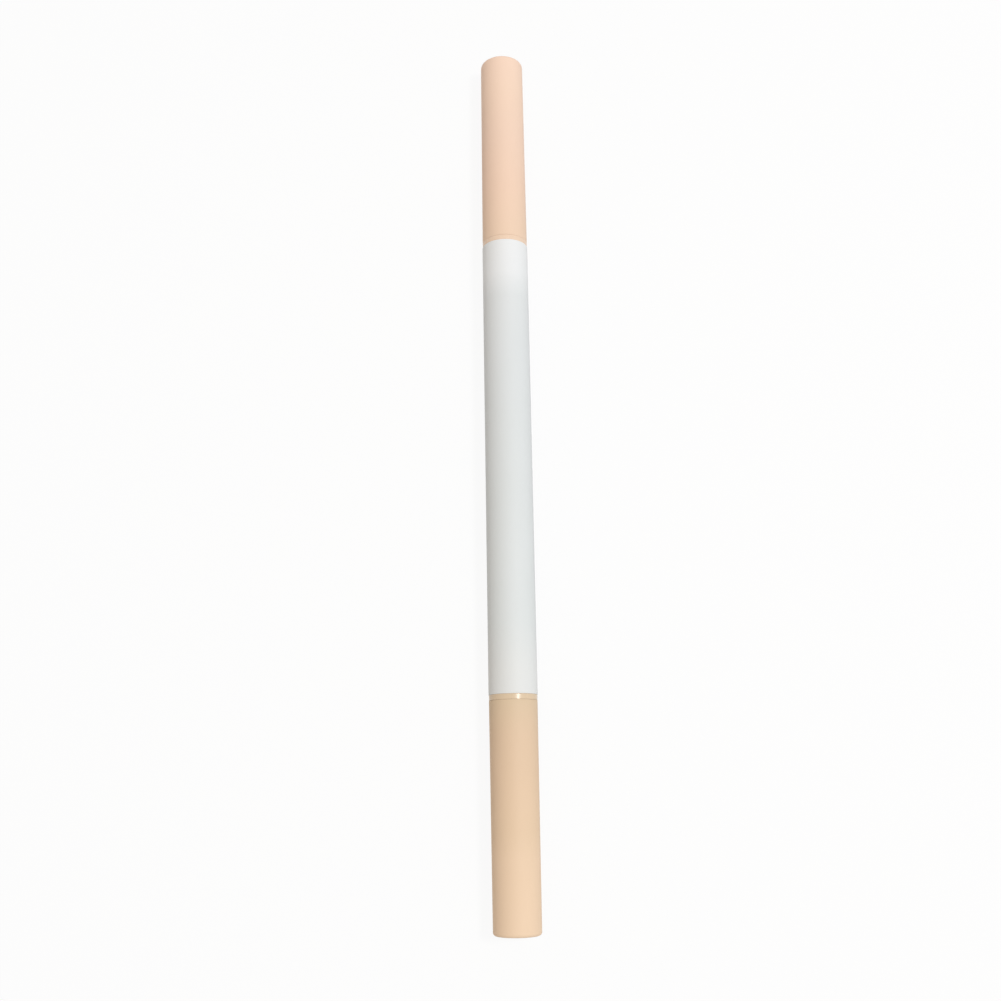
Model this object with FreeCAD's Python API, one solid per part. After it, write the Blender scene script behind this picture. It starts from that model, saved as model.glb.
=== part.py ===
"""Blending stump in a capped holder.

A tightly rolled paper stump, pointed at both ends, runs through a slim white barrel. A bush
pressed into each end of the barrel holds it, and a pull-off cap clicks onto each bush's neck.

Units are millimetres. The stick lies along Y on the plane z = 0, with the rose cap towards +Y
and the tan cap towards -Y. The origin is on that plane, under the middle of the barrel.
Radii are measured from the stick's own axis. A station is a distance along that axis from the
middle of the barrel, outwards, and is the same for both ends.
"""

import FreeCAD, Part
import math
import os

from FreeCAD import Vector

# ---- driving sizes -------------------------------------------------------------------------

# barrel
barrel_length = 79.0
barrel_diameter = 8.0
barrel_wall = 0.75
barrel_edge_round = 0.05

# end bush: plug in the barrel, lip outside it, neck for the cap, nose around the stump
plug_length = 10.0
lip_width = 0.9
lip_round_at_barrel = 0.08
lip_round_at_cap = 0.05
neck_length = 12.0
neck_wall = 0.5
nose_length = 2.5
nose_taper = 0.2
nose_round = 0.12
bead_height = 0.1
bead_width = 0.8
bead_distance = 6.0

# caps
cap_wall = 0.45
cap_end_wall = 1.5
cap_draft = 0.125
cap_end_round = 0.5
cap_rim_round = 0.05
cap_rim_inner_round = 0.1
cap_floor_round = 0.5
cap_tip_room = 7.5

# cap liner
liner_length = 16.0
liner_recess = 0.6
liner_wall = 0.3
liner_rib_count = 6
liner_rib_height = 0.1
liner_rib_width = 0.5
liner_stop_step = 0.3

# paper stump
stump_bare_shank = 4.0
stump_cone_length = 8.5
stump_point_radius = 0.35

# spacer in the middle of the barrel
spacer_length = 12.0
spacer_slot_width = 1.0

# clearances, all radial or between two flat faces
cap_inset = 0.06
lip_inset = 0.06
seat_clearance = 0.02
running_clearance = 0.05
stump_clearance = 0.03
cap_seat_gap = 0.02

# ---- sizes that follow, radii from the outside inwards -------------------------------------

barrel_radius = barrel_diameter / 2
barrel_bore_radius = barrel_radius - barrel_wall
lip_radius = barrel_radius - lip_inset
plug_radius = barrel_bore_radius - seat_clearance

cap_mouth_radius = barrel_radius - cap_inset
cap_end_radius = cap_mouth_radius - cap_draft
cap_bore_radius = cap_mouth_radius - cap_wall
cap_far_bore_radius = cap_bore_radius - liner_stop_step
liner_radius = cap_bore_radius - seat_clearance
liner_bore_radius = liner_radius - liner_wall
liner_rib_radius = liner_bore_radius - liner_rib_height
bead_radius = liner_rib_radius - running_clearance
neck_radius = bead_radius - bead_height
nose_radius = neck_radius - nose_taper
bush_bore_radius = neck_radius - neck_wall
stump_radius = bush_bore_radius - stump_clearance

# stations along the axis
barrel_end = barrel_length / 2
plug_inner_end = barrel_end - plug_length
lip_end = barrel_end + lip_width
neck_end = lip_end + neck_length
nose_end = neck_end + nose_length
cone_start = nose_end + stump_bare_shank
stump_tip = cone_start + stump_cone_length
bead_station = lip_end + bead_distance
cap_mouth = lip_end + cap_seat_gap
cap_floor = stump_tip + cap_tip_room
cap_end = cap_floor + cap_end_wall
liner_start = cap_mouth + liner_recess
liner_end = liner_start + liner_length
liner_stop = liner_end + seat_clearance

# ---- helpers ---------------------------------------------------------------------------------


def rounded_corner(before, corner, after, rounding):
    """Start, end and arc edge of a corner that is rounded between its two neighbours."""
    to_before = (before - corner).normalize()
    to_after = (after - corner).normalize()
    half_angle = to_before.getAngle(to_after) / 2
    reach = rounding / math.tan(half_angle)
    inwards = (to_before + to_after).normalize()
    start = corner + to_before * reach
    end = corner + to_after * reach
    middle = corner + inwards * (rounding / math.sin(half_angle) - rounding)
    return start, end, [Part.Arc(start, middle, end).toShape()]


def profile_face(corners):
    """A closed face from (radius, station, rounding) corners, in a plane through the axis."""
    points = [Vector(radius, station, 0) for radius, station, rounding in corners]
    stretches = []
    for i, (radius, station, rounding) in enumerate(corners):
        corner = points[i]
        following = points[(i + 1) % len(points)]
        if rounding > 0:
            stretches.append(rounded_corner(points[i - 1], corner, following, rounding))
        else:
            stretches.append((corner, corner, []))
    edges = []
    for i, (start, end, arc) in enumerate(stretches):
        edges += arc
        next_start = stretches[(i + 1) % len(stretches)][0]
        edges.append(Part.LineSegment(end, next_start).toShape())
    return Part.Face(Part.Wire(edges))


def turned(corners):
    """A solid turned about the axis, which still lies on the Y axis."""
    return profile_face(corners).revolve(Vector(0, 0, 0), Vector(0, 1, 0), 360)


def placed(shape, faces_tan_end=False):
    """The shape lifted so that the barrel touches z = 0, and turned round for the tan end."""
    shape = shape.copy()
    if faces_tan_end:
        shape.rotate(Vector(0, 0, 0), Vector(0, 0, 1), 180)
    shape.translate(Vector(0, 0, barrel_radius))
    return shape


# ---- pieces ------------------------------------------------------------------------------------


def barrel():
    return turned([
        (barrel_bore_radius, -barrel_end, 0),
        (barrel_radius, -barrel_end, barrel_edge_round),
        (barrel_radius, barrel_end, barrel_edge_round),
        (barrel_bore_radius, barrel_end, 0),
    ])


def end_bush():
    body = turned([
        (bush_bore_radius, plug_inner_end, 0),
        (plug_radius, plug_inner_end, 0),
        (plug_radius, barrel_end, 0),
        (lip_radius, barrel_end, lip_round_at_barrel),
        (lip_radius, lip_end, lip_round_at_cap),
        (neck_radius, lip_end, 0),
        (neck_radius, neck_end, 0),
        (nose_radius, nose_end, nose_round),
        (bush_bore_radius, nose_end, 0),
    ])
    return body.fuse(click_bead()).removeSplitter()


def click_bead():
    """A low ring on the neck, rounded like a shallow arch."""
    foot_radius = neck_radius - bead_height
    foot = Vector(foot_radius, bead_station - bead_width / 2, 0)
    crest = Vector(bead_radius, bead_station, 0)
    heel = Vector(foot_radius, bead_station + bead_width / 2, 0)
    edges = [Part.Arc(foot, crest, heel).toShape(), Part.LineSegment(heel, foot).toShape()]
    return Part.Face(Part.Wire(edges)).revolve(Vector(0, 0, 0), Vector(0, 1, 0), 360)


def cap():
    return turned([
        (cap_bore_radius, cap_mouth, cap_rim_inner_round),
        (cap_mouth_radius, cap_mouth, cap_rim_round),
        (cap_end_radius, cap_end, cap_end_round),
        (0, cap_end, 0),
        (0, cap_floor, 0),
        (cap_far_bore_radius, cap_floor, cap_floor_round),
        (cap_far_bore_radius, liner_stop, 0),
        (cap_bore_radius, liner_stop, 0),
    ])


def cap_liner():
    sleeve = turned([
        (liner_bore_radius, liner_start, 0),
        (liner_radius, liner_start, 0),
        (liner_radius, liner_end, 0),
        (liner_bore_radius, liner_end, 0),
    ])
    middle_radius = (liner_bore_radius + liner_radius) / 2
    ribs = []
    for i in range(liner_rib_count):
        rib = Part.makeBox(
            middle_radius - liner_rib_radius, liner_length, liner_rib_width,
            Vector(liner_rib_radius, liner_start, -liner_rib_width / 2),
        )
        rib.rotate(Vector(0, 0, 0), Vector(0, 1, 0), 360 * i / liner_rib_count)
        ribs.append(rib)
    return sleeve.fuse(ribs).removeSplitter()


def paper_stump():
    """A straight round stick with a cone and a small rounded point at each end."""
    slope = math.atan2(stump_radius, stump_cone_length)
    ball_centre = stump_tip - stump_point_radius

    def on_ball(angle):
        across = stump_point_radius * math.cos(angle)
        along = stump_point_radius * math.sin(angle)
        return Vector(across, ball_centre + along, 0)

    middle = Vector(0, 0, 0)
    foot = Vector(stump_radius, 0, 0)
    shoulder = Vector(stump_radius, cone_start, 0)
    touch = on_ball(slope)
    crown = on_ball((math.pi / 2 + slope) / 2)
    apex = on_ball(math.pi / 2)
    edges = [
        Part.LineSegment(middle, foot).toShape(),
        Part.LineSegment(foot, shoulder).toShape(),
        Part.LineSegment(shoulder, touch).toShape(),
        Part.Arc(touch, crown, apex).toShape(),
        Part.LineSegment(apex, middle).toShape(),
    ]
    half = Part.Face(Part.Wire(edges)).revolve(Vector(0, 0, 0), Vector(0, 1, 0), 360)
    other_half = half.copy()
    other_half.rotate(Vector(0, 0, 0), Vector(0, 0, 1), 180)
    return half.fuse(other_half).removeSplitter()


def grip_ring():
    """A round-section rubber ring that fills the space between stump and barrel."""
    inner = stump_radius + seat_clearance
    outer = barrel_bore_radius - seat_clearance
    section = (outer - inner) / 2
    station = plug_inner_end - section - seat_clearance
    return Part.makeTorus(inner + section, section, Vector(0, station, 0), Vector(0, 1, 0))


def centre_spacer():
    sleeve = turned([
        (bush_bore_radius, -spacer_length / 2, 0),
        (plug_radius, -spacer_length / 2, 0),
        (plug_radius, spacer_length / 2, 0),
        (bush_bore_radius, spacer_length / 2, 0),
    ])
    slot = Part.makeBox(
        spacer_slot_width, spacer_length, barrel_radius,
        Vector(-spacer_slot_width / 2, -spacer_length / 2, 0),
    )
    return sleeve.cut(slot)


# ---- assembly ------------------------------------------------------------------------------

middle_pieces = {"barrel": barrel, "paper_stump": paper_stump, "centre_spacer": centre_spacer}
end_pieces = {"cap": cap, "cap_liner": cap_liner, "end_bush": end_bush, "end_grip_ring": grip_ring}

os.makedirs("parts", exist_ok=True)
nodes = {name: placed(make()) for name, make in middle_pieces.items()}
for name, make in end_pieces.items():
    shape = make()
    nodes["rose_" + name] = placed(shape)
    nodes["tan_" + name] = placed(shape, faces_tan_end=True)
for name, shape in nodes.items():
    shape.exportStep("parts/" + name + ".step")
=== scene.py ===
"""Looks of a capped blending stump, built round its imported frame.

The stick lies along Y. Every outer piece is a path turned about the stick's axis, worked out
with numpy as whole arrays, and dressed in a procedural finish. Sizes in the classes are in
millimetres, and places come from the frame, in metres.
"""

from __future__ import annotations

import logging
import math
from dataclasses import dataclass
from enum import Enum
from typing import Any, Callable, ClassVar

import bpy
import numpy as np
from mathutils import Matrix, Vector

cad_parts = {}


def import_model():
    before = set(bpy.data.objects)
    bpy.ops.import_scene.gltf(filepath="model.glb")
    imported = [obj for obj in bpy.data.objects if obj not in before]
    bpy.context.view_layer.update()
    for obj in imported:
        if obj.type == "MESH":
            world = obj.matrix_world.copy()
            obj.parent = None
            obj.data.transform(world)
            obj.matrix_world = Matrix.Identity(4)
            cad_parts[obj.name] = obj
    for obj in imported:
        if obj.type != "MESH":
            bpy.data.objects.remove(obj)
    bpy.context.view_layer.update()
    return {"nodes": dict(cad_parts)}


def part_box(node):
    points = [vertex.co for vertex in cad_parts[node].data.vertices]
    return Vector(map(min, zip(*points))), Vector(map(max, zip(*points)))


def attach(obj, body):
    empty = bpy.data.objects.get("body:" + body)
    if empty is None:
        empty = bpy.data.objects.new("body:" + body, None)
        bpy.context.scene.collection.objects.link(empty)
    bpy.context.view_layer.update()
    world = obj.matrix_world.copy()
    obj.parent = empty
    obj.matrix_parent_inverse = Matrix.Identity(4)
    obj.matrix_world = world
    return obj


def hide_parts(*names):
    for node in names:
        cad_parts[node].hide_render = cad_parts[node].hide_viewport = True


LOG = logging.getLogger("blending_stump")

MM = 0.001

Colour = tuple[float, float, float]


# ---- the stick's axis and its two ends -----------------------------------------------------------


class Body(Enum):
    """What moves as one: the holder with its stump, and each cap with its sleeve."""

    HOLDER = "holder"
    ROSE_CAP = "rose_cap"
    TAN_CAP = "tan_cap"


class End(Enum):
    """One end of the stick, named by the colour of its cap."""

    ROSE = "rose"
    TAN = "tan"

    @property
    def towards(self) -> float:
        """1 where the end points along +Y, and -1 where it points along -Y."""
        return 1.0 if self is End.ROSE else -1.0

    @property
    def cap_body(self) -> Body:
        """The moving body that the end's cap belongs to."""
        return Body.ROSE_CAP if self is End.ROSE else Body.TAN_CAP


@dataclass(frozen=True)
class Axis:
    """The straight line that every round piece is turned about.

    Attributes:
        height: Height of the axis above the surface the stick lies on, in metres.
        barrel_end: Distance from the stick's middle to either end of the barrel, in mm.
        barrel_radius: Radius of the barrel, in mm.
        cap_mouth: Distance from the middle to the mouth of a cap, in mm.
        cap_end: Distance from the middle to the closed end of a cap, in mm.
    """

    height: float
    barrel_end: float
    barrel_radius: float
    cap_mouth: float
    cap_end: float

    @classmethod
    def from_frame(cls) -> "Axis":
        """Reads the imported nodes. The two ends are alike, so the rose cap stands for both.

        Returns:
            The axis with the stick's stations.
        """
        barrel_low, barrel_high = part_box("barrel")
        cap_low, cap_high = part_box("rose_cap")
        return cls(
            height=(barrel_low.z + barrel_high.z) / 2,
            barrel_end=barrel_high.y / MM,
            barrel_radius=(barrel_high.x - barrel_low.x) / 2 / MM,
            cap_mouth=cap_low.y / MM,
            cap_end=cap_high.y / MM,
        )


# ---- paths and turned surfaces -------------------------------------------------------------------


@dataclass(frozen=True)
class Corner:
    """A corner of a path.

    Attributes:
        station: Distance along the axis from the stick's middle, in mm.
        radius: Distance from the axis, in mm.
        rounding: Radius of the arc that rounds it, in mm, or 0 where it is sharp.
    """

    station: float
    radius: float
    rounding: float = 0.0

    def point(self) -> np.ndarray:
        """The corner as (station, radius)."""
        return np.array([self.station, self.radius])


def corner_arc(before: np.ndarray, corner: Corner, after: np.ndarray, steps: int) -> np.ndarray:
    """Points of one corner, on the circle that touches both of its sides.

    With u and v the unit vectors to the two neighbours and h half the angle between them, the
    circle's centre is rounding / sin h along u + v, and it touches each side rounding / tan h
    from the corner. Between the two points of touch, at first and last from the centre, a point
    at share t of the sweep w lies at (first sin (1 - t) w + last sin t w) / sin w.

    Args:
        before: The path's point before the corner.
        corner: The corner with its rounding.
        after: The path's point after the corner.
        steps: Number of straight steps in the arc.

    Returns:
        Points as rows of (station, radius): one where the rounding is 0.
    """
    point = corner.point()
    if corner.rounding <= 0:
        return point[None, :]
    u = (before - point) / np.linalg.norm(before - point)
    v = (after - point) / np.linalg.norm(after - point)
    half = math.acos(float(np.clip(u @ v, -1.0, 1.0))) / 2
    inwards = (u + v) / np.linalg.norm(u + v)
    centre = point + inwards * corner.rounding / math.sin(half)
    first = point + u * corner.rounding / math.tan(half) - centre
    last = point + v * corner.rounding / math.tan(half) - centre
    sweep = math.pi - 2 * half
    share = np.linspace(0.0, 1.0, steps + 1)[:, None]
    turned = first * np.sin((1 - share) * sweep) + last * np.sin(share * sweep)
    return centre + turned / math.sin(sweep)


def rounded_path(corners: list[Corner], closed: bool, longest: float, steps: int = 6) -> np.ndarray:
    """A path through rounded corners, with its straight runs cut into equal short steps.

    Args:
        corners: The path's corners in order.
        closed: True where the last corner joins the first.
        longest: Longest step on a straight run, in mm.
        steps: Number of steps in each rounded corner.

    Returns:
        Points as rows of (station, radius), in mm. A closed path doesn't repeat its first point.
    """
    arcs = []
    for i, corner in enumerate(corners):
        inner = closed or 0 < i < len(corners) - 1
        before = corners[i - 1].point()
        after = corners[(i + 1) % len(corners)].point()
        arcs.append(corner_arc(before, corner, after, steps) if inner else corner.point()[None, :])
    runs = []
    for i, arc in enumerate(arcs):
        runs.append(arc)
        if closed or i < len(arcs) - 1:
            start, stop = arc[-1], arcs[(i + 1) % len(arcs)][0]
            count = max(1, math.ceil(np.linalg.norm(stop - start) / longest))
            runs.append(start + (stop - start) * (np.arange(1, count) / count)[:, None])
    return np.concatenate(runs)


@dataclass(frozen=True)
class Grid:
    """The points of a turned path, as arrays with a row for each path point.

    Attributes:
        station: Distance along the axis from the stick's middle, in mm.
        radius: Distance from the axis, in mm.
        angle: Angle round the axis from straight up, in radians.
    """

    station: np.ndarray
    radius: np.ndarray
    angle: np.ndarray

    @classmethod
    def turned(cls, path: np.ndarray, sectors: int) -> "Grid":
        """Turns a path into evenly spaced columns, the first of them at angle 0.

        Args:
            path: Rows of (station, radius), in mm.
            sectors: Number of columns.

        Returns:
            The points.
        """
        angle = np.arange(sectors) * (2 * math.pi / sectors)
        return cls(*np.broadcast_arrays(path[:, :1], path[:, 1:], angle[None, :]))


# Gives the change of radius at each point of a grid, in mm.
Relief = Callable[[Grid], np.ndarray]


def turned_mesh(
    name: str,
    axis: Axis,
    path: np.ndarray,
    closed: bool,
    relief: Relief,
    towards: float = 1.0,
    sectors: int = 256,
) -> bpy.types.Mesh:
    """A path turned about the stick's axis, with a relief on its radius.

    The vertex at station s, radius r and angle a has radius q = r + relief. It sits at
    x = towards q sin a, y = towards s, and q cos a above the axis. A path that starts or ends on
    the axis gets one vertex there, with a fan of triangles.

    Args:
        name: The mesh's name.
        axis: The stick's axis.
        path: Rows of (station, radius), in mm.
        closed: True where the path's last point joins its first.
        relief: Gives the change of radius.
        towards: 1 for +Y, or -1 for the same surface turned half a turn about Z.
        sectors: Number of vertices round the axis.

    Returns:
        The mesh, in metres, in the frame's own place, with its faces pointing outwards.
    """
    grid = Grid.turned(path, sectors)
    radius = grid.radius + relief(grid)
    x, y = towards * radius * np.sin(grid.angle), towards * grid.station
    points = np.stack([x, y, radius * np.cos(grid.angle)], axis=-1) * MM
    points = points + np.array([0.0, 0.0, axis.height])

    on_axis = path[:, 1] == 0
    ring_size = np.where(on_axis, 1, sectors)
    first = np.concatenate([[0], np.cumsum(ring_size)[:-1]])
    index = first[:, None] + np.where(on_axis[:, None], 0, np.arange(sectors)[None, :])
    keep = ~on_axis[:, None] | (np.arange(sectors)[None, :] == 0)
    vertices = points[keep]

    if closed:
        index = np.concatenate([index, index[:1]])
    here, there = index[:-1], index[1:]
    quads = np.stack([here, np.roll(here, -1, 1), np.roll(there, -1, 1), there], axis=-1)
    start_pole = quads[..., 0] == quads[..., 1]
    end_pole = quads[..., 2] == quads[..., 3]
    faces = quads[~start_pole & ~end_pole]
    fans = np.concatenate([quads[start_pole][:, [0, 2, 3]], quads[end_pole][:, [0, 1, 2]]])
    if signed_volume(vertices, faces, fans) < 0:
        faces, fans = faces[:, ::-1], fans[:, ::-1]

    mesh = bpy.data.meshes.new(name)
    mesh.from_pydata(vertices.tolist(), [], faces.tolist() + fans.tolist())
    mesh.polygons.foreach_set("use_smooth", np.ones(len(mesh.polygons), bool))
    mesh.update()
    return mesh


def signed_volume(vertices: np.ndarray, quads: np.ndarray, triangles: np.ndarray) -> float:
    """Six times the volume that the faces close in: positive where they point outwards.

    Each quad counts as two triangles, and a triangle with corners p, q and r adds p . (q x r).

    Args:
        vertices: Rows of (x, y, z).
        quads: Rows of four vertex numbers.
        triangles: Rows of three vertex numbers.

    Returns:
        The sum over all triangles.
    """
    cut = np.concatenate([quads[:, [0, 1, 2]], quads[:, [0, 2, 3]], triangles])
    p, q, r = (vertices[cut[:, i]] for i in range(3))
    return float(np.einsum("ij,ij->", p, np.cross(q, r)))


def raised_cosine(distance: np.ndarray, width: float) -> np.ndarray:
    """A smooth hump, 1 at distance 0 and 0 from half the width outwards."""
    inside = np.abs(distance) < width / 2
    return np.where(inside, 0.5 + 0.5 * np.cos(2 * math.pi * distance / width), 0.0)


# ---- finishes ------------------------------------------------------------------------------------

FULL = (0.0, 1.0)
NOISE_SPREAD = (0.3, 0.7)  # nearly all values of smooth noise lie in this range
WHITE_LIGHT = (1.0, 1.0, 1.0)


def grey(level: float) -> tuple[float, float, float, float]:
    """An opaque grey of one level."""
    return (level, level, level, 1.0)


class Nodes:
    """The nodes of a material or of the world, added one at a time."""

    def __init__(self, owner: bpy.types.Material | bpy.types.World, output: str) -> None:
        """Clears the nodes and adds the output.

        Args:
            owner: The material or world.
            output: Kind of its output node, without the prefix that all kinds share.
        """
        owner.use_nodes = True
        self.tree = owner.node_tree
        self.tree.nodes.clear()
        self.output = self.add(output, {})

    def fill(self, node: bpy.types.Node, inputs: dict[str | int, Any]) -> None:
        """Fills inputs of a node.

        Args:
            node: The node.
            inputs: A value, or an output to link, for each input by name or number.
        """
        for key, value in inputs.items():
            if isinstance(value, bpy.types.NodeSocket):
                self.tree.links.new(value, node.inputs[key])
            else:
                node.inputs[key].default_value = value

    def add(self, kind: str, inputs: dict[str | int, Any], **settings: str) -> bpy.types.Node:
        """Adds a node.

        Args:
            kind: The node's kind, without the prefix that all kinds share.
            inputs: A value, or an output to link, for each input by name or number.
            settings: The node's own settings, which are made before its inputs are filled.

        Returns:
            The node.
        """
        node = self.tree.nodes.new(f"ShaderNode{kind}")
        for name, choice in settings.items():
            setattr(node, name, choice)
        self.fill(node, inputs)
        return node

    def place(self) -> bpy.types.NodeSocket:
        """Object coordinates, in metres."""
        return self.add("TexCoord", {}).outputs["Object"]

    def along(self) -> bpy.types.NodeSocket:
        """Distance along the stick from its middle, in metres."""
        return self.add("SeparateXYZ", {"Vector": self.place()}).outputs["Y"]

    def noise(self, size: float, detail: float = 2.0, stretch: float = 1.0) -> bpy.types.NodeSocket:
        """Adds smooth noise.

        Args:
            size: Size of its patches, in metres.
            detail: Number of finer octaves.
            stretch: How much longer the patches are along the stick.

        Returns:
            The noise, from 0 to 1.
        """
        mapping = self.add("Mapping", {"Scale": (1.0, 1.0 / stretch, 1.0), "Vector": self.place()})
        place = mapping.outputs["Vector"]
        texture = self.add("TexNoise", {"Scale": 1.0 / size, "Detail": detail, "Vector": place})
        return texture.outputs["Fac"]

    def span(
        self, value: bpy.types.NodeSocket, source: tuple[float, float], target: tuple[float, float]
    ) -> bpy.types.NodeSocket:
        """Moves a value from one range to another, and keeps it within the new one.

        Args:
            value: The value.
            source: Lowest and highest value before.
            target: What they become.

        Returns:
            The moved value.
        """
        limits = dict(zip(("From Min", "From Max", "To Min", "To Max"), source + target))
        return self.add("MapRange", {"Value": value, **limits}).outputs["Result"]

    def ramp(
        self, value: bpy.types.NodeSocket, stops: list[tuple[float, Colour]]
    ) -> bpy.types.NodeSocket:
        """Runs a colour evenly through its stops.

        Args:
            value: Place on the ramp, from 0 to 1.
            stops: Places and their colours, in order.

        Returns:
            The colour at the value.
        """
        node = self.add("ValToRGB", {"Fac": value})
        elements = node.color_ramp.elements
        for i, (place, colour) in enumerate(stops):
            element = elements[i] if i < 2 else elements.new(place)
            element.position = place
            element.color = (*colour, 1.0)
        return node.outputs["Color"]

    def tint(
        self,
        colour: bpy.types.NodeSocket,
        amount: bpy.types.NodeSocket,
        dark: Colour,
        light: Colour,
    ) -> bpy.types.NodeSocket:
        """Multiplies a colour by a tint.

        Args:
            colour: The colour.
            amount: Place between the two tints, from 0 to 1.
            dark: Tint at 0.
            light: Tint at 1.

        Returns:
            The tinted colour.
        """
        inputs = {"Factor": 1.0, "A": colour, "B": self.ramp(amount, [(0.0, dark), (1.0, light)])}
        return self.add("Mix", inputs, data_type="RGBA", blend_type="MULTIPLY").outputs["Result"]

    def attribute(self, name: str) -> bpy.types.NodeSocket:
        """A value stored in the piece's own mesh."""
        return self.add("Attribute", {}, attribute_name=name).outputs["Fac"]

    def show(self, light: bpy.types.NodeSocket, view: bpy.types.NodeSocket) -> None:
        """Ends with one shader for rays that only carry light, and another for those in view.

        A ray counts as in view where it comes from the camera, or was mirrored or passed
        through glass.

        Args:
            light: Shader for the rays that only carry light.
            view: Shader for the rays in view.
        """
        path = self.add("LightPath", {})
        seen = path.outputs["Is Camera Ray"]
        for name in ("Is Glossy Ray", "Is Transmission Ray"):
            inputs = {0: seen, 1: path.outputs[name]}
            seen = self.add("Math", inputs, operation="MAXIMUM").outputs["Value"]
        choice = self.add("MixShader", {"Fac": seen, 1: light, 2: view})
        self.fill(self.output, {"Surface": choice.outputs["Shader"]})


class Skin(Nodes):
    """The nodes of a material that holds one Principled shader."""

    def __init__(self, name: str) -> None:
        """Starts the material with its shader.

        Args:
            name: The material's name.
        """
        self.material = bpy.data.materials.new(name)
        super().__init__(self.material, "OutputMaterial")
        self.shader = self.add("BsdfPrincipled", {})
        self.fill(self.output, {"Surface": self.shader.outputs["BSDF"]})

    def bump(self, height: bpy.types.NodeSocket, distance: float) -> None:
        """Adds relief to the shading, on top of any that is already there.

        Args:
            height: Height from 0 to 1.
            distance: What a height of 1 stands for, in metres.
        """
        node = self.add("Bump", {"Strength": 1.0, "Distance": distance, "Height": height})
        normal = self.shader.inputs["Normal"]
        if normal.is_linked:
            self.fill(node, {"Normal": normal.links[0].from_socket})
        self.fill(self.shader, {"Normal": node.outputs["Normal"]})


@dataclass(frozen=True)
class MouldedPlastic:
    """Smooth moulded plastic with a faint mottle and a satin skin.

    Attributes:
        name: The material's name.
        stops: Colours along the piece, each at a station in mm along +Y.
        mottle_size: Size of the slow patches of tone, in metres.
        mottle_dark: Tint of the darkest patches.
        mottle_light: Tint of the lightest patches.
        roughness: Lowest and highest roughness of the skin.
        sheen_size: Size of the patches of like roughness, in metres.
        specular: Strength of its plain reflection.
        orange_peel: Depth of the skin's slow waves, in metres.
        orange_peel_size: Size of those waves, in metres.
        grain: Depth of the mould's fine grain, in metres.
        grain_size: Size of that grain, in metres.
        flow: How much longer all but the grain runs along the stick than round it.
    """

    name: str
    stops: tuple[tuple[float, Colour], ...]
    mottle_size: float = 0.006
    mottle_dark: Colour = (0.975, 0.98, 0.975)
    mottle_light: Colour = WHITE_LIGHT
    roughness: tuple[float, float] = (0.52, 0.62)
    sheen_size: float = 0.0011
    specular: float = 0.18
    orange_peel: float = 4e-6
    orange_peel_size: float = 0.0016
    grain: float = 5e-7
    grain_size: float = 0.00012
    flow: float = 2.0

    def build(self) -> bpy.types.Material:
        """Makes the material.

        The colour runs through the stops along the stick, under slow patches of tone. Patches of
        roughness, slow waves and a fine grain give the skin.

        Returns:
            The material.
        """
        nodes = Skin(self.name)
        low, high = self.stops[0][0], self.stops[-1][0]
        share = nodes.span(nodes.along(), (low * MM, high * MM), FULL)
        stops = [((station - low) / (high - low), colour) for station, colour in self.stops]
        colour = nodes.ramp(share, stops)
        mottle = nodes.noise(self.mottle_size, detail=3.0, stretch=self.flow)
        patches = nodes.span(mottle, NOISE_SPREAD, FULL)
        colour = nodes.tint(colour, patches, self.mottle_dark, self.mottle_light)
        sheen = nodes.noise(self.sheen_size, detail=4.0, stretch=self.flow)
        skin = nodes.span(sheen, NOISE_SPREAD, self.roughness)
        finish = {"Base Color": colour, "Roughness": skin, "Specular IOR Level": self.specular}
        nodes.fill(nodes.shader, finish)
        nodes.bump(nodes.noise(self.orange_peel_size, stretch=self.flow), self.orange_peel)
        nodes.bump(nodes.noise(self.grain_size), self.grain)
        return nodes.material


@dataclass(frozen=True)
class RolledPaper:
    """Soft felted paper, wound in layers.

    Attributes:
        name: The material's name.
        colour: Its colour.
        groove: Painted shade: a tint that darkens the grooves between layers.
        fibre_size: Width of the felted fibres, in metres.
        fibre_stretch: How much longer than wide the fibres are, along the stick.
        fibre_depth: Height of the fibres, in metres.
        fibre_shade: Tone between the fibres, as a share of the colour.
        fleck_size: Size of the darker flecks, in metres.
        fleck_spread: Values of their noise between which a fleck grows from nothing to full.
        fleck: Tint of the flecks.
        nap_size: Size of the fine nap, in metres.
        nap_depth: Height of the nap, in metres.
        roughness: Roughness of the paper.
        specular: Strength of its plain reflection.
        fuzz: Strength of the soft sheen of its loose fibres.
    """

    name: str
    colour: Colour
    groove: Colour
    fibre_size: float = 0.00035
    fibre_stretch: float = 3.0
    fibre_depth: float = 2.8e-5
    fibre_shade: float = 0.86
    fleck_size: float = 0.0009
    fleck_spread: tuple[float, float] = (0.55, 0.75)
    fleck: Colour = (0.90, 0.89, 0.87)
    nap_size: float = 0.00009
    nap_depth: float = 7e-6
    roughness: float = 0.95
    specular: float = 0.12
    fuzz: float = 0.25

    def build(self) -> bpy.types.Material:
        """Makes the material, which reads how deep in a groove each point lies from the mesh.

        Returns:
            The material.
        """
        nodes = Skin(self.name)
        fibres = nodes.noise(self.fibre_size, detail=5.0, stretch=self.fibre_stretch)
        flecks = nodes.span(nodes.noise(self.fleck_size, detail=3.0), self.fleck_spread, FULL)
        shade = tuple(self.fibre_shade * channel for channel in self.colour)
        felt = nodes.span(fibres, NOISE_SPREAD, FULL)
        tone = nodes.ramp(felt, [(0.0, shade), (1.0, self.colour)])
        tone = nodes.tint(tone, flecks, WHITE_LIGHT, self.fleck)
        # Painted shade: the paper is darker the deeper a point lies in a groove.
        tone = nodes.tint(tone, nodes.attribute(PaperStump.GROOVE), WHITE_LIGHT, self.groove)
        finish = {
            "Base Color": tone,
            "Roughness": self.roughness,
            "Specular IOR Level": self.specular,
            "Sheen Weight": self.fuzz,
        }
        nodes.fill(nodes.shader, finish)
        nodes.bump(fibres, self.fibre_depth)
        nodes.bump(nodes.noise(self.nap_size), self.nap_depth)
        return nodes.material


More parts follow.
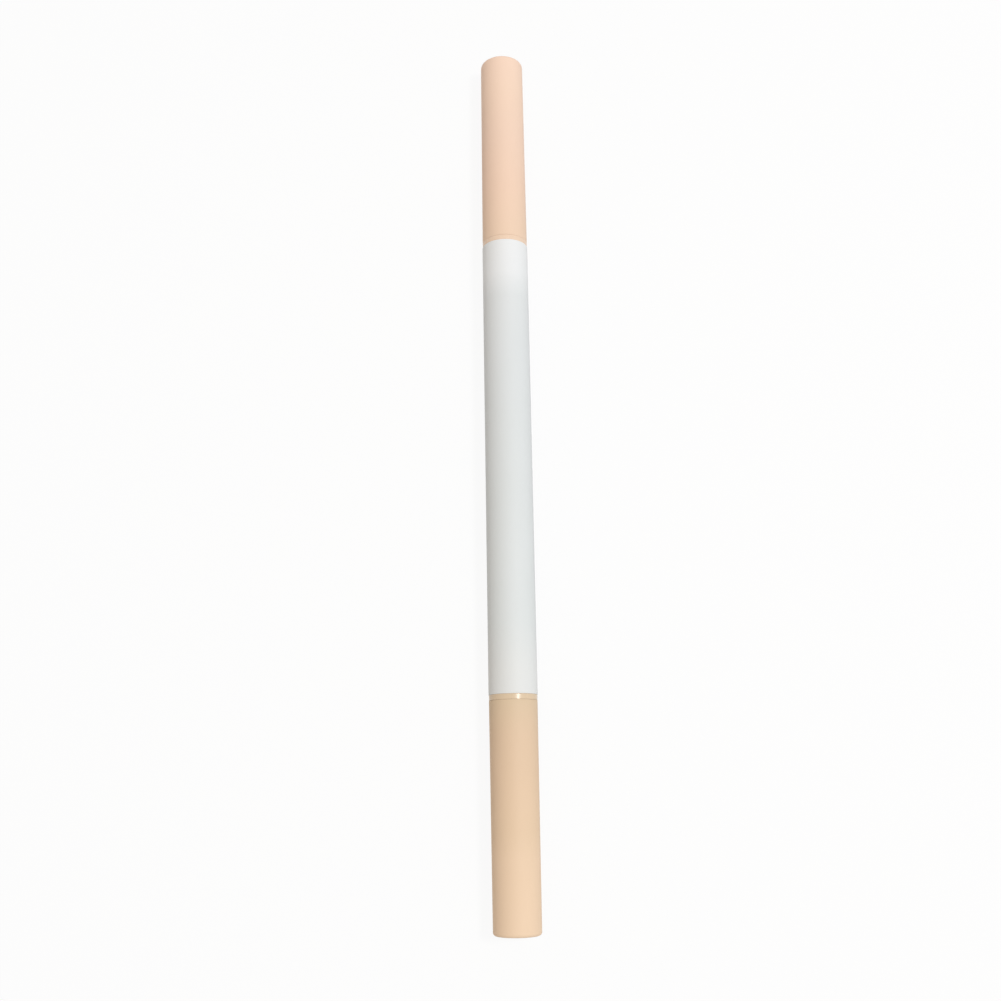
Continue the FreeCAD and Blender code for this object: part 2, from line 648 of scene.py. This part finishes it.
@dataclass(frozen=True)
class Rubber:
    """Matt black rubber with a fine grain.

    Attributes:
        name: The material's name.
        dark: Colour of its darkest grains.
        light: Colour of its lightest grains.
        grain_size: Size of the grain, in metres.
        grain_depth: Height of the grain, in metres.
        roughness: Roughness of the rubber.
    """

    name: str
    dark: Colour
    light: Colour
    grain_size: float = 0.0002
    grain_depth: float = 8e-6
    roughness: float = 0.75

    def build(self) -> bpy.types.Material:
        """Makes the material.

        Returns:
            The material.
        """
        nodes = Skin(self.name)
        grain = nodes.span(nodes.noise(self.grain_size, detail=3.0), NOISE_SPREAD, FULL)
        tone = nodes.ramp(grain, [(0.0, self.dark), (1.0, self.light)])
        nodes.fill(nodes.shader, {"Base Color": tone, "Roughness": self.roughness})
        nodes.bump(grain, self.grain_depth)
        return nodes.material


# ---- dressing pieces -----------------------------------------------------------------------------


def placed(name: str, data: bpy.types.ID) -> bpy.types.Object:
    """Puts a mesh, a lamp or a camera into the scene.

    Args:
        name: The object's name.
        data: What it holds.

    Returns:
        The object.
    """
    item = bpy.data.objects.new(name, data)
    bpy.context.scene.collection.objects.link(item)
    return item


def dress(
    mesh: bpy.types.Mesh, material: bpy.types.Material, body: Body, stands_for: str
) -> bpy.types.Object:
    """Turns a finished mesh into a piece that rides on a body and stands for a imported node.

    Args:
        mesh: The piece's mesh, in place.
        material: Its finish.
        body: The body that it moves with.
        stands_for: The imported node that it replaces.

    Returns:
        The piece.
    """
    piece = placed(mesh.name, mesh)
    mesh.materials.append(material)
    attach(piece, body.value)
    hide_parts(stands_for)
    LOG.info("%s: %d faces, on %s, for %s", piece.name, len(mesh.polygons), body.value, stands_for)
    return piece


def repaint(node: bpy.types.Object, material: bpy.types.Material) -> None:
    """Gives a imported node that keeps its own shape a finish.

    Args:
        node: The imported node.
        material: Its finish.
    """
    node.data.materials.clear()
    node.data.materials.append(material)
    LOG.info("%s keeps its packed shape, in %s", node.name, material.name)


# ---- the holder ----------------------------------------------------------------------------------


@dataclass(frozen=True)
class Barrel:
    """The white tube between the caps.

    Attributes:
        axis: The stick's axis.
        wall: Thickness of the tube.
        outer_round: Rounding of its outer edges.
        inner_round: Rounding of its inner edges.
        ripple: Height of the faint waves that moulding leaves along it.
        ripple_length: Length of those waves.
        ripple_drift: How much longer the waves are that also turn round the tube.
    """

    axis: Axis
    wall: float = 0.75
    outer_round: float = 0.05
    inner_round: float = 0.12
    ripple: float = 0.003
    ripple_length: float = 17.0
    ripple_drift: float = 2.7

    STEP: ClassVar[float] = 0.8

    def surface(self) -> bpy.types.Mesh:
        """A closed path round the tube's wall, turned about the axis.

        Returns:
            The tube's mesh.
        """
        end, outer = self.axis.barrel_end, self.axis.barrel_radius
        bore = outer - self.wall
        path = rounded_path(
            [
                Corner(-end, bore, self.inner_round),
                Corner(-end, outer, self.outer_round),
                Corner(end, outer, self.outer_round),
                Corner(end, bore, self.inner_round),
            ],
            closed=True,
            longest=self.STEP,
        )
        return turned_mesh("barrel_tube", self.axis, path, closed=True, relief=self.waves)

    def waves(self, grid: Grid) -> np.ndarray:
        """Slow waves along the outer wall, never above the tube's own radius.

        Two sines of unlike length are multiplied, one along the tube and one that also turns
        round it, and the product is sunk by its own height.

        Args:
            grid: The tube's points without the waves.

        Returns:
            The change of radius, which is 0 on the inner wall.
        """
        along = np.sin(2 * math.pi * grid.station / self.ripple_length)
        drift_length = self.ripple_drift * self.ripple_length
        round_it = np.sin(2 * grid.angle + 2 * math.pi * grid.station / drift_length)
        outside = grid.radius > self.axis.barrel_radius - self.wall / 2
        return np.where(outside, self.ripple * (along * round_it - 1), 0)

    def build(self, finish: bpy.types.Material) -> None:
        """Makes the tube and dresses it in the barrel's plastic."""
        dress(self.surface(), finish, Body.HOLDER, "barrel")


@dataclass(frozen=True)
class EndBush:
    """The bush pressed into one end of the barrel: plug, lip, neck with its click bead, nose.

    Attributes:
        axis: The stick's axis.
        end: Which end it sits in.
        bore: Radius of the hole that holds the stump.
        plug_radius: Radius of the plug inside the barrel.
        plug_length: Length of the plug.
        lip_inset: How much lower than the barrel the lip lies.
        lip_width: Width of the lip along the axis.
        lip_round_at_barrel: Rounding of the lip's edge next to the barrel.
        lip_round_at_cap: Rounding of the lip's edge next to the cap.
        plug_round: Rounding of the plug's leading edge.
        bore_round: Rounding of the bore's two mouths.
        neck_radius: Radius of the neck.
        neck_length: Length of the neck.
        neck_foot: Rounding in the corner between lip and neck.
        neck_shoulder: Rounding where the neck turns into the nose.
        nose_length: Length of the cone in front of the neck.
        nose_radius: Radius of the nose's front.
        nose_round: Rounding of the nose's front edge.
        bead_distance: Distance from the lip to the click bead's crest.
        bead_width: Width of the bead.
        bead_height: Height of the bead.
    """

    axis: Axis
    end: End
    bore: float = 2.42
    plug_radius: float = 3.23
    plug_length: float = 10.0
    lip_inset: float = 0.06
    lip_width: float = 0.9
    lip_round_at_barrel: float = 0.08
    lip_round_at_cap: float = 0.03
    plug_round: float = 0.15
    bore_round: float = 0.08
    neck_radius: float = 2.92
    neck_length: float = 12.0
    neck_foot: float = 0.06
    neck_shoulder: float = 0.3
    nose_length: float = 2.5
    nose_radius: float = 2.72
    nose_round: float = 0.12
    bead_distance: float = 6.0
    bead_width: float = 0.8
    bead_height: float = 0.1

    SECTORS: ClassVar[int] = 192
    STEPS_PER_BEAD: ClassVar[int] = 6

    @property
    def lip_end(self) -> float:
        """Station of the lip's outer face."""
        return self.axis.barrel_end + self.lip_width

    @property
    def nose_end(self) -> float:
        """Station of the nose's front."""
        return self.lip_end + self.neck_length + self.nose_length

    def surface(self) -> bpy.types.Mesh:
        """A closed path round the bush's wall, turned about the axis.

        Returns:
            The bush's mesh.
        """
        barrel_end = self.axis.barrel_end
        lip_radius = self.axis.barrel_radius - self.lip_inset
        neck_end = self.lip_end + self.neck_length
        path = rounded_path(
            [
                Corner(barrel_end - self.plug_length, self.bore, self.bore_round),
                Corner(barrel_end - self.plug_length, self.plug_radius, self.plug_round),
                Corner(barrel_end, self.plug_radius),
                Corner(barrel_end, lip_radius, self.lip_round_at_barrel),
                Corner(self.lip_end, lip_radius, self.lip_round_at_cap),
                Corner(self.lip_end, self.neck_radius, self.neck_foot),
                Corner(neck_end, self.neck_radius, self.neck_shoulder),
                Corner(self.nose_end, self.nose_radius, self.nose_round),
                Corner(self.nose_end, self.bore, self.bore_round),
            ],
            closed=True,
            longest=self.bead_width / self.STEPS_PER_BEAD,
            steps=8,
        )
        return turned_mesh(
            f"{self.end.value}_bush",
            self.axis,
            path,
            closed=True,
            relief=self.bead,
            towards=self.end.towards,
            sectors=self.SECTORS,
        )

    def bead(self, grid: Grid) -> np.ndarray:
        """A low hump all round the neck, shaped as a raised cosine along the axis.

        Args:
            grid: The bush's points without the bead.

        Returns:
            The change of radius, which is 0 in the bore.
        """
        on_neck = grid.radius > (self.bore + self.neck_radius) / 2
        hump = raised_cosine(grid.station - self.lip_end - self.bead_distance, self.bead_width)
        return np.where(on_neck, self.bead_height * hump, 0.0)

    def build(self, finish: bpy.types.Material) -> None:
        """Makes the bush and dresses it in its cap's plastic."""
        name = self.end.value
        dress(self.surface(), finish, Body.HOLDER, f"{name}_end_bush")


@dataclass(frozen=True)
class PaperStump:
    """The rolled paper stick with a sanded point at each end.

    Attributes:
        axis: The stick's axis.
        radius: Radius of the shank.
        cone_length: Length of each point.
        point_radius: Radius of the very tip.
        sheet: Thickness of one layer of the rolled sheet.
        ledge: Depth of the groove between two layers where the cone cuts them.
        edge_angle: Angle at which the outer sheet ends, in radians.
        edge_slant: How far that edge turns from one end of the stick to the other, in radians.
        edge_step: Height of the step at that edge.
        unevenness: Height of the slow waves that uneven rolling leaves.
        waves_round: Number of those waves round the stick.
        wave_drift: Length of stick over which their turn round it shifts by a radian of phase.
        wave_swell: Length of stick over which their height swings by a radian of phase.
    """

    axis: Axis
    radius: float = 2.39
    cone_length: float = 8.5
    point_radius: float = 0.35
    sheet: float = 0.14
    ledge: float = 0.025
    edge_angle: float = 0.9
    edge_slant: float = 0.7
    edge_step: float = 0.06
    unevenness: float = 0.008
    waves_round: int = 3
    wave_drift: float = 4.0
    wave_swell: float = 2.3

    GROOVE: ClassVar[str] = "groove"
    SECTORS: ClassVar[int] = 160
    SHANK_STEPS: ClassVar[int] = 45
    CONE_STEPS: ClassVar[int] = 200
    BALL_STEPS: ClassVar[int] = 6

    def path(self) -> np.ndarray:
        """One side of the stick's outline, from tip to tip.

        The shank is straight, the cone falls evenly to the tip's ball, and the ball is a
        quarter circle less the cone's slope. Both ends lie on the axis.

        Returns:
            Points as rows of (station, radius).
        """
        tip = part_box("paper_stump")[1].y / MM
        slope = math.atan2(self.radius, self.cone_length)
        ball_centre = tip - self.point_radius
        turn = np.linspace(slope, math.pi / 2, self.BALL_STEPS + 1)
        ball = self.point_radius * np.stack([np.sin(turn), np.cos(turn)], axis=1)
        ball[:, 0] += ball_centre
        ball[-1, 1] = 0.0
        shoulder = np.array([tip - self.cone_length, self.radius])
        fall = (np.arange(self.CONE_STEPS) / self.CONE_STEPS)[:, None]
        cone = shoulder + (ball[0] - shoulder) * fall
        along = shoulder[0] * np.arange(self.SHANK_STEPS) / self.SHANK_STEPS
        shank = np.stack([along, np.full(self.SHANK_STEPS, self.radius)], axis=1)
        half = np.concatenate([shank, cone, ball])
        return np.concatenate([half[:0:-1] * np.array([-1.0, 1.0]), half])

    def grooves(self, grid: Grid) -> np.ndarray:
        """How deep in a groove a point of the cone lies, from 0 on a layer to 1 in the groove.

        The number of layers outside a point is (shank radius - radius) / sheet, plus the share
        of a turn, because the sheet is one long spiral. The groove is a hump of half a layer's
        width at each whole number. It grows over the cone's first half layer, and fades over
        the tip.

        Args:
            grid: The stick's points without the grooves.

        Returns:
            The depth at each point.
        """
        cut = self.radius - grid.radius
        layers = cut / self.sheet + grid.angle / (2 * math.pi)
        share = layers - np.round(layers)
        grown = np.clip(2 * cut / self.sheet, 0.0, 1.0)
        faded = np.clip(grid.radius / self.point_radius - 0.5, 0.0, 1.0)
        return raised_cosine(share, 0.5) * grown * faded

    def relief(self, grid: Grid) -> np.ndarray:
        """The grooves on the cones, and the outer sheet's edge along the shank.

        The shank's radius falls evenly round one turn from the sheet's edge, and steps up at
        the edge. The unevenness is a product of two sines, one of which also turns round the
        stick, sunk by its own height. Both shrink with the radius towards the tip.

        Args:
            grid: The stick's points without the relief.

        Returns:
            The change of radius, which is never above 0.
        """
        share = grid.station / (grid.station.max() - grid.station.min())
        turn = np.mod(grid.angle - self.edge_angle - self.edge_slant * share, 2 * math.pi)
        spiral = -self.edge_step * turn / (2 * math.pi)
        waves = np.sin(self.waves_round * grid.angle + grid.station / self.wave_drift)
        uneven = self.unevenness * (waves * np.sin(grid.station / self.wave_swell) - 1)
        ledges = self.ledge * self.grooves(grid)
        return (spiral + uneven) * grid.radius / self.radius - ledges

    def build(self, finish: bpy.types.Material) -> None:
        """Makes the stump, stores the depth of its grooves in the mesh, and dresses it.

        The depths are stored in the order of the mesh's vertices, with a single one at each tip.

        Args:
            finish: The paper.
        """
        path = self.path()
        mesh = turned_mesh(
            "rolled_stump", self.axis, path, closed=False, relief=self.relief, sectors=self.SECTORS
        )
        # These depths drive the paper's painted shade in the grooves.
        depth = self.grooves(Grid.turned(path, self.SECTORS))
        values = np.concatenate([depth[0, :1], depth[1:-1].ravel(), depth[-1, :1]])
        attribute = mesh.attributes.new(self.GROOVE, "FLOAT", "POINT")
        attribute.data.foreach_set("value", values.astype(np.float32))
        dress(mesh, finish, Body.HOLDER, "paper_stump")


# ---- the caps ------------------------------------------------------------------------------------


@dataclass(frozen=True)
class Cap:
    """One pull-off cap with its inner sleeve.

    Attributes:
        axis: The stick's axis.
        end: Which end it covers.
        mouth_radius: Outer radius at the mouth.
        draft: How much slimmer the closed end is, in radius.
        wall: Thickness of the wall round the sleeve.
        liner_length: Length of the sleeve.
        liner_recess: How far the sleeve sits inside the mouth.
        stop_step: Width of the shoulder that stops the sleeve.
        end_wall: Thickness of the closed end.
        end_round: Rounding of the closed end's outer edge.
        floor_round: Rounding inside the closed end.
        rim_round: Rounding of the mouth's outer edge.
        rim_inner_round: Rounding of the mouth's inner edge.
        gate_radius: Radius of the moulding gate's shallow dimple in the closed end.
        gate_depth: Depth of that dimple.
        gate_round: Rounding of the dimple's rim and foot.
        seam_height: Height of the two faint parting lines.
        seam_width: Width of those lines.
        liner_wall: Thickness of the sleeve.
        liner_gap: Room round the sleeve and behind it.
        liner_round: Rounding of the sleeve's edges.
        rib_count: Number of ribs along the inside of the sleeve.
        rib_height: Height of a rib.
        rib_width: Width of a rib at half its height.
    """

    axis: Axis
    end: End
    mouth_radius: float = 3.94
    draft: float = 0.125
    wall: float = 0.45
    liner_length: float = 16.0
    liner_recess: float = 0.6
    stop_step: float = 0.3
    end_wall: float = 1.5
    end_round: float = 0.5
    floor_round: float = 0.5
    rim_round: float = 0.03
    rim_inner_round: float = 0.1
    gate_radius: float = 0.55
    gate_depth: float = 0.1
    gate_round: float = 0.08
    seam_height: float = 0.008
    seam_width: float = 0.16
    liner_wall: float = 0.3
    liner_gap: float = 0.02
    liner_round: float = 0.08
    rib_count: int = 6
    rib_height: float = 0.1
    rib_width: float = 0.5

    SHELL_STEP: ClassVar[float] = 0.5
    SLEEVE_STEP: ClassVar[float] = 0.8

    @property
    def bore(self) -> float:
        """Radius of the bore that holds the sleeve."""
        return self.mouth_radius - self.wall

    def shell(self) -> bpy.types.Mesh:
        """A path from the floor, out of the mouth and over to the closed end, turned.

        Both of its ends lie on the axis, so the turned shell is closed.

        Returns:
            The shell's mesh.
        """
        mouth, end = self.axis.cap_mouth, self.axis.cap_end
        stop = mouth + self.liner_recess + self.liner_length + self.liner_gap
        floor = end - self.end_wall
        far_bore = self.bore - self.stop_step
        path = rounded_path(
            [
                Corner(floor, 0.0),
                Corner(floor, far_bore, self.floor_round),
                Corner(stop, far_bore),
                Corner(stop, self.bore),
                Corner(mouth, self.bore, self.rim_inner_round),
                Corner(mouth, self.mouth_radius, self.rim_round),
                Corner(end, self.mouth_radius - self.draft, self.end_round),
                Corner(end, self.gate_radius, self.gate_round),
                Corner(end - self.gate_depth, self.gate_radius - self.gate_depth, self.gate_round),
                Corner(end - self.gate_depth, 0.0),
            ],
            closed=False,
            longest=self.SHELL_STEP,
            steps=10,
        )
        return turned_mesh(
            f"{self.end.value}_cap_shell",
            self.axis,
            path,
            closed=False,
            relief=self.seams,
            towards=self.end.towards,
        )

    def seams(self, grid: Grid) -> np.ndarray:
        """Two parting lines down opposite sides of the outer wall, each a raised cosine.

        They lie a quarter turn either way from the top. A point's distance from the nearer one
        is its radius times the angle between them.

        Args:
            grid: The shell's points without the lines.

        Returns:
            The change of radius, which is 0 inside the outer wall.
        """
        innermost = self.mouth_radius - self.draft - self.end_round
        across = grid.radius * np.abs(np.abs(grid.angle - math.pi) - math.pi / 2)
        line = self.seam_height * raised_cosine(across, self.seam_width)
        return np.where(grid.radius > innermost, line, 0.0)

    def sleeve(self) -> bpy.types.Mesh:
        """A closed path round the sleeve's wall, turned about the axis.

        Returns:
            The sleeve's mesh.
        """
        start = self.axis.cap_mouth + self.liner_recess
        outer = self.bore - self.liner_gap
        inner = outer - self.liner_wall
        path = rounded_path(
            [
                Corner(start, inner, self.liner_round),
                Corner(start, outer, self.liner_round),
                Corner(start + self.liner_length, outer, self.liner_round),
                Corner(start + self.liner_length, inner, self.liner_round),
            ],
            closed=True,
            longest=self.SLEEVE_STEP,
        )
        return turned_mesh(
            f"{self.end.value}_cap_sleeve",
            self.axis,
            path,
            closed=True,
            relief=self.ribs,
            towards=self.end.towards,
        )

    def ribs(self, grid: Grid) -> np.ndarray:
        """Low rounded ribs along the inside of the sleeve, evenly spaced, each a raised cosine.

        Args:
            grid: The sleeve's points without the ribs.

        Returns:
            The change of radius, which is 0 on the sleeve's outer wall.
        """
        pitch = 2 * math.pi / self.rib_count
        across = grid.radius * (np.mod(grid.angle + pitch / 2, pitch) - pitch / 2)
        inside = grid.radius < self.bore - self.liner_gap - self.liner_wall / 2
        return np.where(inside, -self.rib_height * raised_cosine(across, 2 * self.rib_width), 0.0)

    def build(self, finish: bpy.types.Material, liner_finish: bpy.types.Material) -> None:
        """Makes the shell and the sleeve and dresses both.

        Args:
            finish: The shell's plastic.
            liner_finish: The sleeve's plastic.
        """
        name = self.end.value
        body = self.end.cap_body
        dress(self.shell(), finish, body, f"{name}_cap")
        dress(self.sleeve(), liner_finish, body, f"{name}_cap_liner")


# ---- floor, light and viewpoint ------------------------------------------------------------------


@dataclass(frozen=True)
class Studio:
    """A pale floor under even light, with one soft lamp.

    Attributes:
        floor_size: Side of the square floor, in metres.
        floor_albedo: How much light the floor gives back to the stick.
        floor_shade: Colour of the share of the floor that shows its shading.
        floor_white: How bright the floor looks straight on.
        floor_keep: Share of the floor's own shading that shows, which keeps the shadow.
        floor_fade: Distances from the middle between which that share fades to 0, in metres.
        sky: Strength of the even light.
        warm_side: Colour of the even light from the -X side, where it is weaker in blue.
        warm_reach: Directions, as shares of +X, between which the warm colour turns white.
        lamp_angle: Angle of the lamp from straight up, towards +X, in degrees.
        lamp_distance: Distance of the lamp from the stick's axis, in metres.
        lamp_size: Diameter of the lamp, in metres.
        lamp_level: Brightness that the lamp alone gives a white surface facing it.
    """

    floor_size: float = 6.0
    floor_albedo: float = 0.6
    floor_shade: float = 0.9
    floor_white: float = 0.99
    floor_keep: float = 0.08
    floor_fade: tuple[float, float] = (0.25, 1.2)
    sky: float = 0.62
    warm_side: Colour = (1.0, 0.89, 0.79)
    warm_reach: tuple[float, float] = (-1.0, 0.3)
    lamp_angle: float = 23.5
    lamp_distance: float = 0.5
    lamp_size: float = 0.08
    lamp_level: float = 0.44

    def floor(self) -> None:
        """A flat square that shows near white, keeps a part of its shadow, and is not a piece."""
        half = self.floor_size / 2
        mesh = bpy.data.meshes.new("floor")
        corners = [(-half, -half, 0), (half, -half, 0), (half, half, 0), (-half, half, 0)]
        mesh.from_pydata(corners, [], [(0, 1, 2, 3)])
        floor = placed("floor", mesh)
        mesh.materials.append(self.floor_finish())

    def floor_finish(self) -> bpy.types.Material:
        """Matt grey for the light it gives back, and near white where it is seen or mirrored.

        Where it is seen, a small share of plain shading is mixed in near the stick.

        Returns:
            The floor's material.
        """
        material = bpy.data.materials.new("floor_finish")
        nodes = Nodes(material, "OutputMaterial")
        matt = nodes.add("BsdfDiffuse", {"Color": grey(self.floor_albedo)}).outputs["BSDF"]
        shaded = nodes.add("BsdfDiffuse", {"Color": grey(self.floor_shade)}).outputs["BSDF"]
        glow = nodes.add("Emission", {"Color": grey(self.floor_white)}).outputs["Emission"]
        distance = nodes.add("VectorMath", {0: nodes.place()}, operation="LENGTH").outputs["Value"]
        keep = nodes.span(distance, self.floor_fade, (self.floor_keep, 0.0))
        shown = nodes.add("MixShader", {"Fac": keep, 1: glow, 2: shaded}).outputs["Shader"]
        nodes.show(matt, shown)
        return material

    def world(self) -> None:
        """Even light from all round, a little warm on one side, and white where it is seen."""
        world = bpy.data.worlds.new("even_light")
        nodes = Nodes(world, "OutputWorld")
        direction = nodes.add("TexCoord", {}).outputs["Generated"]
        across = nodes.add("SeparateXYZ", {"Vector": direction}).outputs["X"]
        ends = {"A": (*self.warm_side, 1.0), "B": (*WHITE_LIGHT, 1.0)}
        side = nodes.span(across, self.warm_reach, FULL)
        colour = nodes.add("Mix", {"Factor": side, **ends}, data_type="RGBA").outputs["Result"]
        light = nodes.add("Background", {"Color": colour, "Strength": self.sky})
        white = nodes.add("Background", {"Color": grey(self.floor_white)})
        nodes.show(light.outputs["Background"], white.outputs["Background"])
        bpy.context.scene.world = world

    def lamp(self, height: float) -> None:
        """A round lamp aimed at the stick's middle.

        A disc of power P at distance d lights a surface that faces it with P / (pi d^2), and a
        white matt surface gives back that over pi.

        Args:
            height: Height of the stick's axis above the floor, in metres.
        """
        data = bpy.data.lights.new("soft_lamp", "AREA")
        data.shape = "DISK"
        data.size = self.lamp_size
        data.energy = self.lamp_level * math.pi**2 * self.lamp_distance**2
        lamp = placed("soft_lamp", data)
        tilt = math.radians(self.lamp_angle)
        away = Vector((math.sin(tilt), 0.0, math.cos(tilt))) * self.lamp_distance
        lamp.location = away + Vector((0.0, 0.0, height))
        lamp.rotation_euler = away.to_track_quat("Z", "Y").to_euler()

    def build(self, axis: Axis) -> None:
        """Lays the floor, sets the light, and keeps colours as they are written.

        Args:
            axis: The stick's axis.
        """
        self.floor()
        self.world()
        self.lamp(axis.height)
        bpy.context.scene.view_settings.view_transform = "Standard"


@dataclass(frozen=True)
class Viewpoint:
    """The camera, above the stick and nearer to its tan end.

    Attributes:
        axis: The stick's axis.
        distance: Distance from the point it looks at, in mm.
        tilt: Angle from straight down, in degrees.
        roll: Turn about its own line of sight, in degrees.
        aim_along: Station of the point it looks at, in mm.
        aim_across: How far that point lies beside the axis, in mm.
        lens: Focal length, in mm.
        frame_width: Width of the frame that the focal length is for, in mm.
        reach: Nearest and farthest distance that it shows, in metres.
    """

    axis: Axis
    distance: float = 198.39
    tilt: float = 14.006
    roll: float = -0.955
    aim_along: float = -6.859
    aim_across: float = -1.526
    lens: float = 42.13
    frame_width: float = 36.0
    reach: tuple[float, float] = (0.01, 20.0)

    def build(self) -> None:
        """Makes the camera and hands it to the scene.

        The camera starts straight above its aim, looking down with +Y up in the frame. It is
        tilted about X, which carries it towards -Y, and rolled about its line of sight.
        """
        data = bpy.data.cameras.new("viewpoint")
        data.lens = self.lens
        data.sensor_width = self.frame_width
        data.clip_start, data.clip_end = self.reach
        camera = placed("viewpoint", data)
        aim = Vector((self.aim_across * MM, self.aim_along * MM, self.axis.height))
        camera.matrix_world = (
            Matrix.Translation(aim)
            @ Matrix.Rotation(math.radians(self.tilt), 4, "X")
            @ Matrix.Rotation(math.radians(self.roll), 4, "Z")
            @ Matrix.Translation((0.0, 0.0, self.distance * MM))
        )
        bpy.context.scene.camera = camera


# ---- the whole -----------------------------------------------------------------------------------

# Colours at stations along +Y, in mm. Each cap's colour holds painted shade: it is darker
# towards its mouth, next to the barrel, and lighter towards its closed end. The barrel is a little
# greyer over its long middle field.
ROSE = (
    (39.0, (0.850, 0.638, 0.476)),
    (50.0, (0.880, 0.644, 0.496)),
    (61.0, (0.893, 0.662, 0.523)),
    (70.0, (0.922, 0.691, 0.542)),
    (77.0, (0.935, 0.697, 0.555)),
)
# Painted shade: the tan cap is darker towards its mouth at -39 and lighter at its closed end.
TAN = (
    (-77.0, (0.869, 0.655, 0.467)),
    (-65.0, (0.853, 0.640, 0.455)),
    (-61.0, (0.813, 0.610, 0.426)),
    (-52.0, (0.793, 0.589, 0.414)),
    (-46.0, (0.768, 0.574, 0.404)),
    (-39.0, (0.722, 0.564, 0.389)),
)
WHITE = (
    (-40.0, (0.783, 0.793, 0.786)),
    (-36.0, (0.778, 0.790, 0.781)),
    (-28.0, (0.733, 0.763, 0.761)),
    (20.0, (0.730, 0.756, 0.764)),
    (29.0, (0.750, 0.774, 0.781)),
    (33.5, (0.832, 0.847, 0.856)),
    (40.0, (0.839, 0.852, 0.858)),
)
NATURAL = ((-60.0, (0.72, 0.70, 0.64)), (60.0, (0.72, 0.70, 0.64)))


def finishes() -> dict[str, bpy.types.Material]:
    """Makes each finish once. The bushes are of their caps' plastic, from a polished mould.

    Returns:
        The materials by short name.
    """
    polished = {"roughness": (0.25, 0.29), "specular": 0.45, "orange_peel": 1.5e-6}
    return {
        "white": MouldedPlastic("barrel_white", WHITE).build(),
        "rose": MouldedPlastic("rose_plastic", ROSE).build(),
        "tan": MouldedPlastic("tan_plastic", TAN).build(),
        "rose_polished": MouldedPlastic("rose_polished", ROSE, **polished).build(),
        "tan_polished": MouldedPlastic("tan_polished", TAN, **polished).build(),
        "natural": MouldedPlastic("natural_plastic", NATURAL).build(),
        # The second colour is the painted shade in the paper's grooves.
        "paper": RolledPaper("rolled_paper", (0.60, 0.59, 0.56), (0.68, 0.66, 0.63)).build(),
        "rubber": Rubber("grip_rubber", (0.03, 0.03, 0.03), (0.05, 0.05, 0.05)).build(),
    }


def main() -> None:
    """Builds every piece in order, then the studio and the viewpoint."""
    logging.basicConfig(level=logging.INFO, format="%(message)s")
    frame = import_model()
    axis = Axis.from_frame()
    finish = finishes()

    Barrel(axis).build(finish["white"])
    PaperStump(axis).build(finish["paper"])
    for end in End:
        EndBush(axis, end).build(finish[f"{end.value}_polished"])
        Cap(axis, end).build(finish[end.value], finish["natural"])
        repaint(frame["nodes"][f"{end.value}_end_grip_ring"], finish["rubber"])
    repaint(frame["nodes"]["centre_spacer"], finish["natural"])

    Studio().build(axis)
    Viewpoint(axis).build()


if __name__ == "__main__":
    main()
